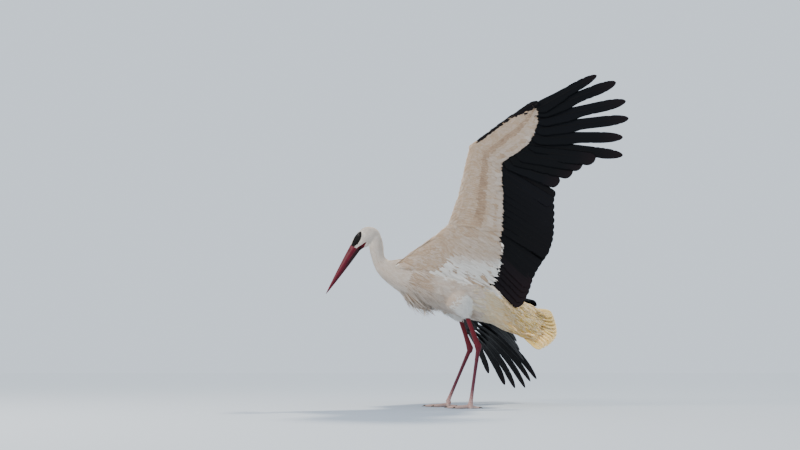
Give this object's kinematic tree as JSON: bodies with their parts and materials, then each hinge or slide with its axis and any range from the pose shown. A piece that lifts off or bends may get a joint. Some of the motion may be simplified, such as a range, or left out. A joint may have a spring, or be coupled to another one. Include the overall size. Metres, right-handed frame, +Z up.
{
  "type": "white stork model",
  "caption": "Life-size white stork standing on long legs, neck bent down, one wing raised and the other spread low, tail fanned.",
  "frame": {"origin": "bottom centre of the bounding box, on the floor the bird stands on", "axes": "+Z up; the bird looks towards -X, its left side faces -Y"},
  "size_m": [0.967, 0.858, 1.0466],
  "materials": {
    "white_plumage": "soft white body feathers, matt",
    "black_feathers": "black flight feathers with a faint sheen",
    "bill": "smooth crimson horn",
    "leg_skin": "red scaly skin, paler on the feet",
    "claws": "dark horn",
    "eyes": "wet, dark brown"
  },
  "bodies": {
    "root": {"head": "white_plumage", "eye_left": "eyes", "eye_right": "eyes", "bill_upper": "bill", "bill_lower": "bill", "neck_upper": "white_plumage", "neck_lower": "white_plumage", "breast_plumes": "white_plumage", "trunk": "white_plumage", "rump": "white_plumage", "tail": "white_plumage", "left_upper_arm": "white_plumage", "left_forearm": "white_plumage", "left_hand": "white_plumage", "left_primary_10": "black_feathers", "left_primary_9": "black_feathers", "left_primary_8": "black_feathers", "left_primary_7": "black_feathers", "left_primary_6": "black_feathers", "left_primary_5": "black_feathers", "left_inner_primaries": "black_feathers", "left_secondaries": "black_feathers", "left_tertials": "black_feathers", "right_upper_arm": "white_plumage", "right_forearm": "white_plumage", "right_hand": "white_plumage", "right_primary_10": "black_feathers", "right_primary_9": "black_feathers", "right_primary_8": "black_feathers", "right_primary_7": "black_feathers", "right_primary_6": "black_feathers", "right_primary_5": "black_feathers", "right_inner_primaries": "black_feathers", "right_secondaries": "black_feathers", "right_tertials": "black_feathers", "left_thigh": "white_plumage", "left_tibia": "leg_skin", "left_tarsus": "leg_skin", "left_foot": "leg_skin", "left_claw_inner": "claws", "left_claw_middle": "claws", "left_claw_outer": "claws", "left_claw_hind": "claws", "right_thigh": "white_plumage", "right_tibia": "leg_skin", "right_tarsus": "leg_skin", "right_foot": "leg_skin", "right_claw_inner": "claws", "right_claw_middle": "claws", "right_claw_outer": "claws", "right_claw_hind": "claws"}
  },
  "joints": []
}
